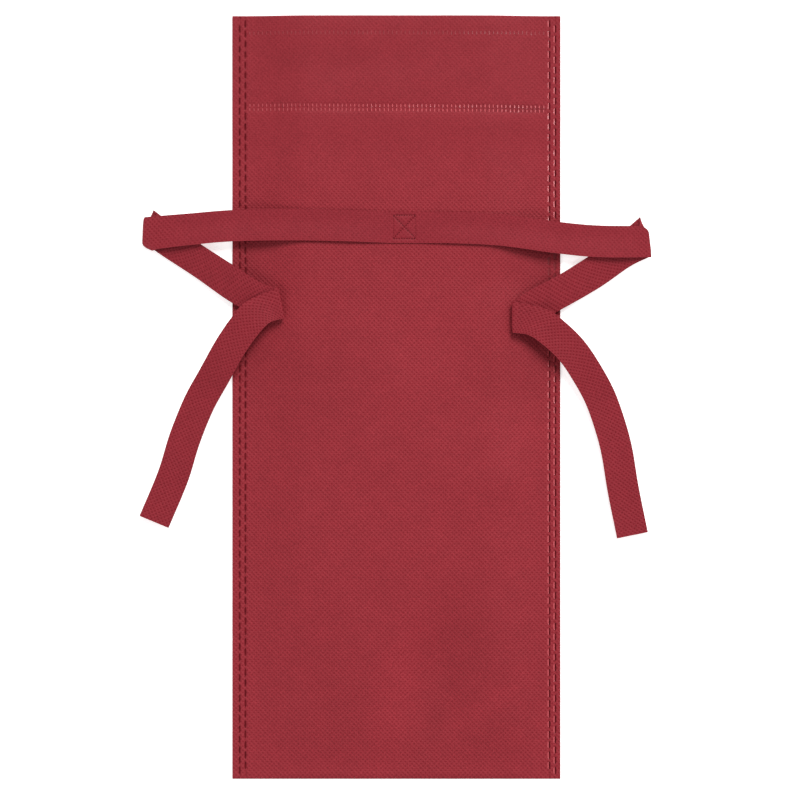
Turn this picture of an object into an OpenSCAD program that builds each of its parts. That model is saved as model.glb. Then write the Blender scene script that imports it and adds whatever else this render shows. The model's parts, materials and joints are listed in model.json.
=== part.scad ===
// Wine gift bag of spunbond polypropylene, lying flat on its back panel.
// Origin: centre of the back panel's outer face. +X right, +Y towards the
// mouth, +Z out of the front panel. Millimetres.

/* [Bag] */
// Width of the bag laid flat
bag_w = 172; // [168:1:180]
// Height from the bottom fold to the mouth
bag_h = 400; // [380:5:420]
// Thickness of the nonwoven sheet
sheet_t = 0.5; // [0.4:0.05:0.6]
// Height that the front panel stands up over the back panel
crown = 5.5; // [5:0.5:8]
// Width of the sloping flank beside each side seam
flank_w = 33; // [26:1:36]
// Length of the slope that runs up from the bottom fold
toe_len = 60; // [40:5:80]
// Depth of the hem turned in at the mouth
hem_d = 52; // [45:1:60]

/* [Welds] */
// Thickness of the bonded layer between two sheets
bond_t = 0.1; // [0.05:0.05:0.15]
// Width of one row of side weld
weld_w = 0.9; // [0.6:0.1:1.2]
// Distance of the left outer row from the centre line
left_outer_x = 82.2; // [81:0.1:84]
// Distance of the left inner row from the centre line
left_inner_x = 79.2; // [79:0.1:80]
// Distance of the right inner row from the centre line
right_inner_x = 80.1; // [79:0.1:81]
// Distance of the right outer row from the centre line
right_outer_x = 83.2; // [82.2:0.1:84]
// Height of the two-row hem weld above the centre of the bag
hem_weld_y = 150.8; // [150.4:0.1:152]
// Height of the single edge weld near the mouth
edge_weld_y = 191; // [188:0.5:194]

/* [Ribbon] */
// Width of the ribbon
ribbon_w = 16.5; // [15:0.5:17]
// Thickness of the ribbon
ribbon_t = 0.5; // [0.4:0.05:0.5]
// Fall of the ribbon from the middle of the bag to its outer folds
ribbon_drop = 4.6; // [4:0.2:4.8]
// Clearance between the loose layers of the ribbon
lay_gap = 0.3; // [0.25:0.05:0.4]
// Width of the boxed cross that fixes the ribbon
box_w = 12.6; // [11:0.1:13]
// Height of the boxed cross that fixes the ribbon
box_h = 13; // [11:0.5:14]

/* [Hidden] */

fabric = "#9c3438";
weld = "#6e1a20";
ribbon = "#a4383d";

half_w = bag_w / 2;
half_h = bag_h / 2;
seam_x = 78.4;                        // the flanks rise inside this line
fold_r = sheet_t + bond_t / 2;        // outer radius of a folded edge
hem_y = half_h - hem_d;               // lower edge of the turned-in hem
step_len = 4;                         // ramp from two layers to four
hem_gap = 2 * sheet_t + 3 * bond_t;   // between the panels at the hem
box_x = 4.2;                          // centre of the boxed cross
box_y = 89.2;
arm_y = 89.1;                         // centre line of the ribbon there

function smooth(u) = let (v = min(1, max(0, u))) v * v * (3 - 2 * v);
function rise(x) = smooth((seam_x - abs(x)) / flank_w);
function toe(y) = smooth((y + half_h - 4) / toe_len);
function apart(y) = bond_t + (hem_gap - bond_t)
    * min(1, max(0, (y - hem_y + step_len) / step_len));
// Underside of the front panel
function under(x, y) = sheet_t + apart(y) + crown * rise(x) * toe(y);

// The ribbon is stiff: from the flat middle of the bag it slopes down to its
// outer folds in a long shallow curve that stands clear of the flanks
function rest(x) = 2 * sheet_t + bond_t + crown
    - ribbon_drop * smooth((abs(x) - 45) / 85);
// Undersides of the three layers of ribbon
function arm_z(x) = rest(x)
    + bond_t + (lay_gap - bond_t) * smooth((abs(x - box_x) - box_w / 2) / 15)
    + (ribbon_t + lay_gap) * smooth((abs(x) - half_w - 1) / 13);
function middle_z(x) = rest(x) + lay_gap;
// A tail lies on its middle piece by the fold and lower farther along
function tail_z(x, s) = rest(x) + lay_gap
    + (ribbon_t + lay_gap) * (1 - smooth((s - 38) / 22));

flank_xs = [for (i = [0:8]) seam_x - flank_w * i / 8];
grid_xs = concat([-half_w, -left_inner_x - weld_w / 2],
    [for (x = flank_xs) -x],
    [for (i = [8:-1:0]) flank_xs[i]],
    [right_inner_x + weld_w / 2, half_w]);
grid_ys = concat([-half_h + fold_r],
    [for (i = [0:8]) -half_h + 4 + toe_len * i / 8],
    [hem_y - step_len, hem_y, half_h - fold_r]);

// Closed sheet over a grid of plan points. Across the columns and then along
// the rows turns anticlockwise seen from above.
module sheet(low, high) {
    n = len(low);
    m = len(low[0]);
    k = n * m;
    points = concat([for (r = low) each r], [for (r = high) each r]);
    function b(i, j) = i * m + j;
    function t(i, j) = k + i * m + j;
    faces = concat(
        [for (i = [0:n - 2], j = [0:m - 2]) each [
            [t(i, j), t(i + 1, j), t(i + 1, j + 1)],
            [t(i, j), t(i + 1, j + 1), t(i, j + 1)],
            [b(i, j), b(i, j + 1), b(i + 1, j + 1)],
            [b(i, j), b(i + 1, j + 1), b(i + 1, j)]]],
        [for (j = [0:m - 2]) each [
            [t(0, j), t(0, j + 1), b(0, j + 1), b(0, j)],
            [t(n - 1, j + 1), t(n - 1, j), b(n - 1, j), b(n - 1, j + 1)]]],
        [for (i = [0:n - 2]) each [
            [t(i + 1, 0), t(i, 0), b(i, 0), b(i + 1, 0)],
            [t(i, m - 1), t(i + 1, m - 1), b(i + 1, m - 1), b(i, m - 1)]]]);
    polyhedron(points, faces, convexity = 4);
}

// Band that follows the front panel across the bag, from y0 to y1,
// between two heights above the underside of the panel
module arched_band(y0, y1, low, high, xs) {
    translate([0, y1, 0]) rotate([90, 0, 0]) linear_extrude(y1 - y0)
        polygon(concat(
            [for (x = xs) [x, under(x, half_h) + low]],
            [for (i = [len(xs) - 1:-1:0]) [xs[i], under(xs[i], half_h) + high]]));
}

module half_fold(length, side) {
    rotate([90, 0, 90]) linear_extrude(length, center = true)
        intersection() {
            difference() {
                circle(fold_r, $fn = 48);
                circle(bond_t / 2, $fn = 24);
            }
            translate([side < 0 ? -1 : 0, -1]) square([1, 2]);
        }
}

module back_panel() {
    color(fabric) translate([-half_w, -half_h + fold_r, 0])
        cube([bag_w, bag_h - 2 * fold_r, sheet_t]);
}

module front_panel() {
    color(fabric) sheet(
        [for (y = grid_ys) [for (x = grid_xs) [x, y, under(x, y)]]],
        [for (y = grid_ys) [for (x = grid_xs) [x, y, under(x, y) + sheet_t]]]);
}

module bottom_fold() {
    color(fabric) translate([0, -half_h + fold_r, fold_r]) half_fold(bag_w, -1);
}

module back_mouth_fold() {
    color(fabric) translate([0, half_h - fold_r, fold_r]) half_fold(bag_w, 1);
}

module front_mouth_fold() {
    color(fabric) arched_band(half_h - fold_r, half_h,
        -sheet_t - bond_t, sheet_t, grid_xs);
}

module back_hem_facing() {
    color(fabric) translate([-half_w, hem_y, sheet_t + bond_t])
        cube([bag_w, hem_d - fold_r, sheet_t]);
}

module front_hem_facing() {
    color(fabric) arched_band(hem_y, half_h - fold_r,
        -sheet_t - bond_t, -bond_t, grid_xs);
}

// One row of side weld: one bond below the hem, three through its four layers
module side_weld(x) {
    color(weld) translate([x - weld_w / 2, 0, 0]) {
        translate([0, -half_h + fold_r, sheet_t])
            cube([weld_w, bag_h - hem_d - step_len - fold_r, bond_t]);
        for (i = [0:2])
            translate([0, hem_y, sheet_t + i * (sheet_t + bond_t)])
                cube([weld_w, hem_d - fold_r, bond_t]);
    }
}

module left_side_weld_outer() side_weld(-left_outer_x);
module left_side_weld_inner() side_weld(-left_inner_x);
module right_side_weld_inner() side_weld(right_inner_x);
module right_side_weld_outer() side_weld(right_outer_x);

// Bands of hem weld stop short of the side welds
weld_xs = concat([-seam_x], [for (i = [1:8]) -flank_xs[i]],
    [for (i = [8:-1:1]) flank_xs[i]], [seam_x]);

module front_hem_weld_lower() {
    color(weld) for (y = [-1.9, 0.4])
        arched_band(hem_weld_y + y, hem_weld_y + y + 1.5, -bond_t, 0, weld_xs);
}

module front_hem_weld_upper() {
    color(weld) arched_band(edge_weld_y - 0.75, edge_weld_y + 0.75,
        -bond_t, 0, weld_xs);
}

module back_hem_weld_lower() {
    color(weld) for (y = [-1.9, 0.4])
        translate([-seam_x, hem_weld_y + y, sheet_t])
            cube([2 * seam_x, 1.5, bond_t]);
}

module back_hem_weld_upper() {
    color(weld) translate([-seam_x, edge_weld_y - 0.75, sheet_t])
        cube([2 * seam_x, 1.5, bond_t]);
}

// Box with a cross in it, which bonds the ribbon to the front panel
module ribbon_box_weld() {
    a = atan2(box_h, box_w);
    d = norm([box_w, box_h]);
    color(weld) translate([box_x, box_y, rest(box_x)])
        linear_extrude(bond_t) intersection() {
            square([box_w, box_h], center = true);
            union() {
                difference() {
                    square([box_w, box_h], center = true);
                    square([box_w - 1.4, box_h - 1.4], center = true);
                }
                for (s = [-1, 1]) rotate(s * a) square([d, 0.7], center = true);
            }
        }
}

module ribbon_centre() {
    color(ribbon)
        translate([box_x - box_w / 2, arm_y - ribbon_w / 2, rest(box_x) + bond_t])
            cube([box_w, ribbon_w, ribbon_t]);
}

// Ribbon edges: each row is the left-hand and then the right-hand edge of the
// ribbon, going along it from the boxed cross
left_arm_rows = [
    [[box_x - box_w / 2 - 0.1, arm_y - ribbon_w / 2], [box_x - box_w / 2 - 0.1, arm_y + ribbon_w / 2]],
    [[-30, 81.8], [-30, 98.3]],
    [[-58, 82.2], [-58, 98.7]],
    [[-86, 81.7], [-85.4, 98.2]],
    [[-110, 79.6], [-108.5, 96.4]],
    [[-133.2, 77.2], [-129.1, 94.5]]];
left_middle_rows = [
    [[-128.1, 98.0], [-132.4, 80.5]],
    [[-115.3, 89.2], [-124.6, 75.6]],
    [[-101.5, 79.7], [-105.8, 63.3]],
    [[-85.6, 69.5], [-86.4, 49.8]],
    [[-70.5, 60.0], [-72.5, 43.6]],
    [[-61.7, 57.5], [-58.1, 41.3]]];
left_tail_path = [[-72.5, 44.6], [-79.8, 36.7], [-87.2, 25.9], [-95.4, 11.3],
    [-103.4, -3.1], [-110.9, -21.6], [-117, -41.2], [-127, -65.2]];
right_arm_rows = [
    [[box_x + box_w / 2 + 0.1, arm_y + ribbon_w / 2], [box_x + box_w / 2 + 0.1, arm_y - ribbon_w / 2]],
    [[32, 97.1], [32, 80.6]],
    [[56, 95.8], [55.4, 79.3]],
    [[86.4, 91.8], [85.2, 75.3]],
    [[106, 90.1], [105.2, 73.5]],
    [[130.0, 89.6], [132.8, 73.2]]];
right_middle_rows = [
    [[131.8, 78.0], [128.3, 94.0]],
    [[122.0, 68.2], [113.2, 82.2]],
    [[106.4, 57.6], [98.8, 72.7]],
    [[86.5, 46.2], [84.4, 63.8]],
    [[72.5, 39.4], [70.2, 56.4]],
    [[60.2, 33.7], [60.2, 50.3]]];
right_tail_path = [[73.9, 39.4], [82.4, 33.6], [91.6, 24.7], [99.4, 13.4],
    [106.6, 0.3], [112, -14.7], [115.6, -28.5], [118.8, -47.9], [123.7, -72.2]];

function unit(v) = v / norm(v);
function side_of(p, i) = let (
    a = p[max(0, i - 1)], b = p[min(len(p) - 1, i + 1)], d = unit(b - a))
    [d[1], -d[0]] * ribbon_w / 2;
function edges_of(p) = [for (i = [0:len(p) - 1])
    [p[i] - side_of(p, i), p[i] + side_of(p, i)]];
left_tail_rows = concat([[[-58.1, 41.3], [-61.7, 57.5]]], edges_of(left_tail_path));
right_tail_rows = concat([[[60.2, 50.3], [60.2, 33.7]]], edges_of(right_tail_path));

// Each gap between two rows is cut into k steps
function finer(rows, k) = concat(
    [for (i = [0:len(rows) - 2], s = [0:k - 1])
        rows[i] * (1 - s / k) + rows[i + 1] * (s / k)],
    [rows[len(rows) - 1]]);
across = 4;
function plan(rows, k) = [for (r = finer(rows, k)) [for (j = [0:across])
    r[0] * (1 - j / across) + r[1] * (j / across)]];
function steps(grid) = [for (i = 0, s = 0; i < len(grid);
    s = s + (i + 1 < len(grid) ? norm(grid[i + 1][2] - grid[i][2]) : 0), i = i + 1) s];

module arm(rows) {
    g = plan(rows, 5);
    color(ribbon) sheet([for (r = g) [for (p = r) [p[0], p[1], arm_z(p[0])]]],
        [for (r = g) [for (p = r) [p[0], p[1], arm_z(p[0]) + ribbon_t]]]);
}

module middle(rows) {
    g = plan(rows, 4);
    color(ribbon) sheet([for (r = g) [for (p = r) [p[0], p[1], middle_z(p[0])]]],
        [for (r = g) [for (p = r) [p[0], p[1], middle_z(p[0]) + ribbon_t]]]);
}

module tail(rows) {
    g = plan(rows, 3);
    s = steps(g);
    color(ribbon) sheet(
        [for (i = [0:len(g) - 1]) [for (p = g[i]) [p[0], p[1], tail_z(p[0], s[i])]]],
        [for (i = [0:len(g) - 1]) [for (p = g[i])
            [p[0], p[1], tail_z(p[0], s[i]) + ribbon_t]]]);
}

module ribbon_left_arm() arm(left_arm_rows);
module ribbon_left_middle() middle(left_middle_rows);
module ribbon_left_tail() tail(left_tail_rows);
module ribbon_right_arm() arm(right_arm_rows);
module ribbon_right_middle() middle(right_middle_rows);
module ribbon_right_tail() tail(right_tail_rows);

back_panel();
front_panel();
bottom_fold();
back_hem_facing();
front_hem_facing();
back_mouth_fold();
front_mouth_fold();
left_side_weld_outer();
left_side_weld_inner();
right_side_weld_inner();
right_side_weld_outer();
front_hem_weld_lower();
front_hem_weld_upper();
back_hem_weld_lower();
back_hem_weld_upper();
ribbon_box_weld();
ribbon_centre();
ribbon_left_arm();
ribbon_left_middle();
ribbon_left_tail();
ribbon_right_arm();
ribbon_right_middle();
ribbon_right_tail();
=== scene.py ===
import json
import math

import bpy
import numpy as np
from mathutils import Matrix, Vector


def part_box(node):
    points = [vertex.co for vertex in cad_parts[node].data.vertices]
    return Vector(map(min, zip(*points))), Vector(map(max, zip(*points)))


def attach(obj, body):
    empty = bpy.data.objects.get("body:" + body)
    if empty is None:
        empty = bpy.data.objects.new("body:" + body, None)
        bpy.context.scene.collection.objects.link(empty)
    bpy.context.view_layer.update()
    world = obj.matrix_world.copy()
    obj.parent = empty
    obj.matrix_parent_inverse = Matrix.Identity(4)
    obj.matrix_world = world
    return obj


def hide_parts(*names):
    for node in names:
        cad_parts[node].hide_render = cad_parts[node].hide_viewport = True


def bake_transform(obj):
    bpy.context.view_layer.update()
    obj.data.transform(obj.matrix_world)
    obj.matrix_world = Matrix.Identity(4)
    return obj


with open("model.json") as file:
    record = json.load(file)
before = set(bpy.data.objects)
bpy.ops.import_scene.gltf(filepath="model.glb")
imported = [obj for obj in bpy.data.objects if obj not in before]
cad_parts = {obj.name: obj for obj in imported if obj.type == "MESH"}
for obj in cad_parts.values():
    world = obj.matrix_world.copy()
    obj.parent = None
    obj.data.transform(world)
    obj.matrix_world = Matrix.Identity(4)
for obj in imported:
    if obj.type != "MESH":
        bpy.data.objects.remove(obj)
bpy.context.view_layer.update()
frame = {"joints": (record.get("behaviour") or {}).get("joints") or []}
MM = 0.001


def box_mm(node):
    lo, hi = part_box(node)
    return np.array(lo) * 1000, np.array(hi) * 1000


# ---------------------------------------------------------------- camera
cam_data = bpy.data.cameras.new("camera")
cam = bpy.data.objects.new("camera", cam_data)
bpy.context.scene.collection.objects.link(cam)
cam.location = (0.0019, -0.0013, 2.5)
cam_data.sensor_width = 36
cam_data.lens = 36 * (2.5 - 0.005) / 0.4189
cam_data.clip_start, cam_data.clip_end = 0.05, 20
bpy.context.scene.camera = cam
bpy.context.scene.view_settings.view_transform = "Standard"

# ---------------------------------------------------------------- measures, mm
front_lo, front_hi = box_mm("front_panel")
HALF_W = front_hi[0]
HALF_H = box_mm("front_mouth_fold")[1][1]
T = box_mm("back_panel")[1][2]                       # one sheet
BOND = box_mm("right_side_weld_outer")[0][2] * 0 + 0.1
FOLD_R = T + BOND / 2
SEAM_X = 78.4
CROWN = front_hi[2] - 2 * T - 13 * BOND
FLANK = 33.0
HEM_Y = box_mm("front_hem_facing")[0][1]
PITCH = 5.4


def mid_x(node):
    lo, hi = box_mm(node)
    return (lo[0] + hi[0]) / 2


def mid_y(node):
    lo, hi = box_mm(node)
    return (lo[1] + hi[1]) / 2


# rows of side weld: middle, half width of the groove, phase of the dashes, how open its walls are
ROWS = {
    "left_side_weld_outer": (mid_x("left_side_weld_outer"), 0.72, 0.27, 0.0),
    "left_side_weld_inner": (mid_x("left_side_weld_inner"), 0.88, 0.77, 0.0),
    "right_side_weld_inner": (mid_x("right_side_weld_inner"), 0.80, 0.77, 1.0),
    "right_side_weld_outer": (mid_x("right_side_weld_outer"), 0.80, 0.27, 1.0),
}
HEM_WELD = mid_y("front_hem_weld_lower")
EDGE_WELD = mid_y("front_hem_weld_upper")


def smooth(u):
    v = np.clip(u, 0, 1)
    return v * v * (3 - 2 * v)


def rise(x):
    return smooth((SEAM_X - np.abs(x)) / FLANK)


def toe(y):
    return 0.30 * smooth((y + HALF_H - 3) / 26) + 0.70 * smooth((y + HALF_H - 3) / 120)


def bump(x, y, cx, cy, sx, sy, turn=0.0):
    c, s = math.cos(math.radians(turn)), math.sin(math.radians(turn))
    dx, dy = x - cx, y - cy
    a, b = (c * dx + s * dy) / sx, (-s * dx + c * dy) / sy
    return np.exp(-(a * a + b * b))


WAVES = []
_rng = np.random.default_rng(11)
for _k in range(26):
    _w = _rng.uniform(14, 52)
    _a = _rng.uniform(0, 2 * math.pi)
    WAVES.append((math.cos(_a) / _w, math.sin(_a) / _w, _rng.uniform(0, 6.28), _w * 0.00055))


def wander(x, y):
    """Small slow unevenness of a sheet that was folded and used."""
    z = 0.0
    for fx, fy, ph, am in WAVES:
        z = z + am * np.sin(2 * math.pi * (fx * x + fy * y) + ph)
    return z


def wrinkles(x, y):
    z = 2.0 * wander(x, y)
    # valley that runs up from the bottom fold, right of the middle, between two swells
    line = 17 + 0.10 * (y + 200)
    up = 1 - smooth((y + 150) / 62)
    z = z - 3.6 * np.exp(-((x - line) / 15) ** 2) * up
    z = z + 1.2 * np.exp(-((x - line - 42) / 24) ** 2) * up
    z = z + 1.0 * np.exp(-((x - line + 38) / 22) ** 2) * up
    z = z + 1.2 * bump(x, y, -12, 4, 34, 46, 10)
    z = z + 1.6 * bump(x, y, 62, -42, 30, 15, 12)
    z = z - 1.0 * bump(x, y, 58, 0, 26, 18, 10)
    z = z - 1.1 * bump(x, y, -58, -16, 24, 34, -15)
    z = z - 1.0 * bump(x, y, 62, 122, 9, 36, 0)
    z = z + 0.6 * bump(x, y, -46, 124, 13, 34, -8)
    z = z - 0.5 * bump(x, y, -20, 174, 44, 8, 2)
    # the flanks sink away beside the ribbon
    z = z - 1.7 * bump(x, y, 66, 62, 15, 13) - 1.5 * bump(x, y, -68, 62, 13, 13)
    return z


def painted_shading(x, y):
    """How far the cloth's colour is painted lighter or darker to stand for light and shade: painted light and shade of
    its wrinkles, painted shadow beside the ribbon at the side seams, painted shade towards the mouth and along the hem
    weld.
    """
    # painted light and shade of the lit and turned-away sides of wrinkles
    f = 0.085 * bump(x, y, 0, -158, 11, 48, -13)
    f = f - 0.034 * bump(x, y, 50, -136, 30, 26, -10) - 0.060 * bump(x, y, 20, -168, 7, 30, -13)
    f = f + 0.060 * bump(x, y, 49, -160, 26, 5, 35) - 0.030 * bump(x, y, 58, -170, 24, 5.5, 38)
    f = f + 0.050 * bump(x, y, 70, -20, 16, 8, 8) - 0.045 * bump(x, y, 50, 10, 18, 14, 0)
    f = f + 0.034 * bump(x, y, 14, 24, 20, 30, 0) - 0.045 * bump(x, y, -43, 6, 22, 24, 0)
    f = f + 0.026 * bump(x, y, 20, -62, 18, 24, 0) - 0.040 * bump(x, y, 54, 130, 12, 30, 0)
    f = f - 0.025 * bump(x, y, -50, 176, 26, 10, 0) - 0.018 * bump(x, y, -42, -158, 26, 22, 0)
    # painted shadow beside the side seams, under the ribbon's arms and tails
    f = f - 0.085 * bump(x, y, 77, 20, 12, 24, -18) - 0.090 * bump(x, y, 77, 66, 13, 11, 0)
    f = f - 0.120 * bump(x, y, -79, 64, 10, 12, 0) - 0.120 * bump(x, y, -78, 24, 8, 18, 0)
    # painted shade, darker towards the mouth
    f = f - 0.075 * smooth((y - 100) / 85)
    # the hem weld is painted darker towards its right end, partly the deeper fused film and partly painted shade
    # between its bars
    f = f - 0.20 * smooth((x - 10) / 70) * band(y, hem_weld_y(x), 1.7) * hem_span(x)
    return f


def dashes(y, phase, pitch=PITCH, half=2.05, soft=0.45):
    d = np.abs(np.mod(y / pitch - phase, 1.0) - 0.5) * pitch
    return 1 - smooth((d - half + soft) / (2 * soft))


def groove(dx, hw, openness):
    """Depth across a weld groove: flat-bottomed, or with one long sloping wall and one steep one."""
    flat = 1 - smooth((np.abs(dx) / hw - 0.5) / 0.45)
    slope = np.clip((dx + 0.80) / 0.75, 0, 1) * (1 - smooth((dx - 0.20) / 0.34))
    return flat * (1 - openness) + slope * openness


def pits(x, y):
    d = 0.0
    for x0, hw, phase, openness in ROWS.values():
        d = d + 0.35 * groove(x - x0, hw, openness) * (0.10 + 0.90 * dashes(y, phase))
    return d


def band(y, mid, half):
    return 1 - smooth((np.abs(y - mid) - half) / 0.45)


def hem_weld_y(x):
    return HEM_WELD + 0.8 - 0.0055 * x


def hem_span(x):
    """The hem weld ends at the side seams."""
    return 1 - smooth((np.abs(x) - 77) / 1.2)


def front_z(x, y, weld=True):
    """Outer face of the front panel."""
    apart = 0.1 + 1.2 * smooth((y - 127) / 21)
    r = rise(x)
    z = 2 * T + apart + CROWN * r * toe(y)
    z = z + wrinkles(x, y) * smooth(r * 1.6) * smooth((y + HALF_H - 3) / 40) * (1 - 0.92 * np.exp(-((y - 89) / 19) ** 2))
    z = np.maximum(z, 2 * T + apart + 0.02 * CROWN * r)
    z = z - 0.35 * np.clip((y - 192.5) / 7.0, 0, 1) ** 2 * smooth(r * 3)
    # the hem weld pulls the sheet down into a shallow channel with puckers
    chan = np.exp(-((y - hem_weld_y(x)) / 3.6) ** 2)
    z = z - 0.28 * chan * smooth(r * 4) * (1 + 0.35 * np.sin(x / 5.3) * np.sin(x / 2.1 + 1))
    if weld:
        z = z - pits(x, y)
        z = z - 0.14 * band(y, hem_weld_y(x), 2.05) * hem_span(x)
        z = z - 0.05 * band(y, EDGE_WELD, 0.5) * (1 - smooth((np.abs(x) - 77) / 1.2))
    return z


def back_z(x, y, weld=True):
    """Outer face of the back panel, which lies on its back."""
    z = 0.0 * x
    if weld:
        z = z + 0.8 * pits(x, y)
        z = z + 0.18 * (band(y, HEM_WELD - 1.15, 0.5) + band(y, HEM_WELD + 1.15, 0.5)) * (1 - smooth((np.abs(x) - 77) / 1.2))
        z = z + 0.14 * band(y, EDGE_WELD, 0.5) * (1 - smooth((np.abs(x) - 77) / 1.2))
    return z


# ---------------------------------------------------------------- meshes
def add_mesh(name, verts_mm, faces, lay=None, sharp=38, painted_light_shade=None):
    me = bpy.data.meshes.new(name)
    me.from_pydata((np.asarray(verts_mm, float) * MM).tolist(), [], faces)
    me.validate()
    me.update()
    if lay is not None:
        at = me.attributes.new("lay", "FLOAT_VECTOR", "POINT")
        at.data.foreach_set("vector", np.asarray(lay, np.float32).ravel())
    # painted light and shade, one factor per point
    if painted_light_shade is not None:
        at = me.attributes.new("painted_light_shade", "FLOAT", "POINT")
        at.data.foreach_set("value", np.asarray(painted_light_shade, np.float32).ravel())
    me.polygons.foreach_set("use_smooth", [True] * len(me.polygons))
    me.set_sharp_from_angle(angle=math.radians(sharp))
    ob = bpy.data.objects.new(name, me)
    bpy.context.scene.collection.objects.link(ob)
    return ob


L_FOLD = math.pi * (FOLD_R + BOND / 2) / 2
L_PANEL = 2 * (HALF_H - FOLD_R)
L_FACING = HALF_H - FOLD_R - HEM_Y


def front_points(x, s):
    """Outer and inner face of the front sheet, at s along it: round the bottom fold, up the panel, round the mouth and down the facing."""
    yb = -HALF_H + FOLD_R
    yt = HALF_H - FOLD_R
    s1, s2, s3 = L_FOLD, L_FOLD + L_PANEL, 2 * L_FOLD + L_PANEL
    out, inn = np.zeros(x.shape + (3,)), np.zeros(x.shape + (3,))
    out[..., 0] = inn[..., 0] = x
    k = s <= s1
    th = -math.pi / 2 + math.pi * s / s1
    r0 = BOND / 2
    for arr, r in ((out, FOLD_R), (inn, r0)):
        arr[..., 1] = np.where(k, yb - r * np.cos(th), arr[..., 1])
        arr[..., 2] = np.where(k, FOLD_R + r * np.sin(th), arr[..., 2])
    k = (s > s1) & (s < s2)
    y = np.clip(yb + s - s1, yb, yt)
    f, f0 = front_z(x, y), front_z(x, y, False)
    out[..., 1] = np.where(k, y, out[..., 1])
    inn[..., 1] = np.where(k, y, inn[..., 1])
    out[..., 2] = np.where(k, f, out[..., 2])
    inn[..., 2] = np.where(k, f0 - T, inn[..., 2])
    k = (s >= s2) & (s <= s3)
    ft = front_z(x, np.full_like(x, yt), False)
    th = math.pi / 2 - math.pi * (s - s2) / (s3 - s2)
    for arr, r in ((out, FOLD_R), (inn, r0)):
        arr[..., 1] = np.where(k, yt + r * np.cos(th), arr[..., 1])
        arr[..., 2] = np.where(k, ft - FOLD_R + r * np.sin(th), arr[..., 2])
    k = s > s3
    y = np.clip(yt - (s - s3), HEM_Y, yt)
    f0 = front_z(x, y, False)
    out[..., 1] = np.where(k, y, out[..., 1])
    inn[..., 1] = np.where(k, y, inn[..., 1])
    out[..., 2] = np.where(k, f0 - 2 * T - BOND, out[..., 2])
    inn[..., 2] = np.where(k, f0 - T - BOND, inn[..., 2])
    return out, inn


def back_points(x, s):
    """The same for the back sheet, from the bottom fold up the panel, round the mouth and down its facing. Its outer face is below."""
    yb, yt = -HALF_H + FOLD_R, HALF_H - FOLD_R
    s2, s3 = L_PANEL, L_FOLD + L_PANEL
    out, inn = np.zeros(x.shape + (3,)), np.zeros(x.shape + (3,))
    out[..., 0] = inn[..., 0] = x
    k = s < s2
    y = np.clip(yb + s, yb, yt)
    out[..., 1] = np.where(k, y, 0)
    inn[..., 1] = np.where(k, y, 0)
    out[..., 2] = np.where(k, back_z(x, y), 0)
    inn[..., 2] = np.where(k, T, 0)
    k = (s >= s2) & (s <= s3)
    th = -math.pi / 2 + math.pi * (s - s2) / (s3 - s2)
    for arr, r in ((out, FOLD_R), (inn, BOND / 2)):
        arr[..., 1] = np.where(k, yt + r * np.cos(th), arr[..., 1])
        arr[..., 2] = np.where(k, FOLD_R + r * np.sin(th), arr[..., 2])
    k = s > s3
    y = np.clip(yt - (s - s3), HEM_Y, yt)
    out[..., 1] = np.where(k, y, out[..., 1])
    inn[..., 1] = np.where(k, y, inn[..., 1])
    out[..., 2] = np.where(k, 2 * T + BOND, out[..., 2])
    inn[..., 2] = np.where(k, T + BOND, inn[..., 2])
    return out, inn


def strip_columns(side):
    rows = [v for k, v in ROWS.items() if k.startswith(side)]
    xs = {HALF_W, HALF_W - 0.25, HALF_W - 1.1, SEAM_X - 1.0}
    for x0, hw, _, openness in rows:
        for u in ((-0.80, -0.55, -0.30, -0.05, 0.20, 0.37, 0.55) if openness else
                  (-hw, -0.8 * hw, -0.6 * hw, -0.3 * hw, 0, 0.3 * hw, 0.6 * hw, 0.8 * hw, hw)):
            xs.add(round(abs(x0) + u, 3))
    xs = sorted(xs)
    keep = [xs[0]]
    for v in xs[1:]:
        if v - keep[-1] > 0.08:
            keep.append(v)
    keep[-1] = HALF_W
    return np.array([-v for v in reversed(keep)]) if side == "left" else np.array(keep)


def sheet_rows(s_panel, k_panel):
    """Rows along a sheet, and into how many steps each gap is cut beside the seams."""
    fine = [(HEM_WELD - 2.8, HEM_WELD + 4.0, 0.4), (EDGE_WELD - 1.2, EDGE_WELD + 1.2, 0.4)]
    y, rows, cuts = -HALF_H + FOLD_R, [], []
    top = HALF_H - FOLD_R
    while y < top - 1e-6:
        rows.append(y + HALF_H - FOLD_R + s_panel)
        step, k = 2.7, 4
        for lo, hi, st in fine:
            if lo - 1e-6 <= y < hi - 1e-6:
                step, k = st, 1
            elif y < lo and y + step > lo:
                step, k = lo - y, max(1, int(round((lo - y) / 0.675)))
        if y > top - 6.5:
            step, k = 0.9, 1
        step = min(step, top - y)
        cuts.append(k)
        y += step
    rows.append(L_PANEL + s_panel)
    return rows, cuts


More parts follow.
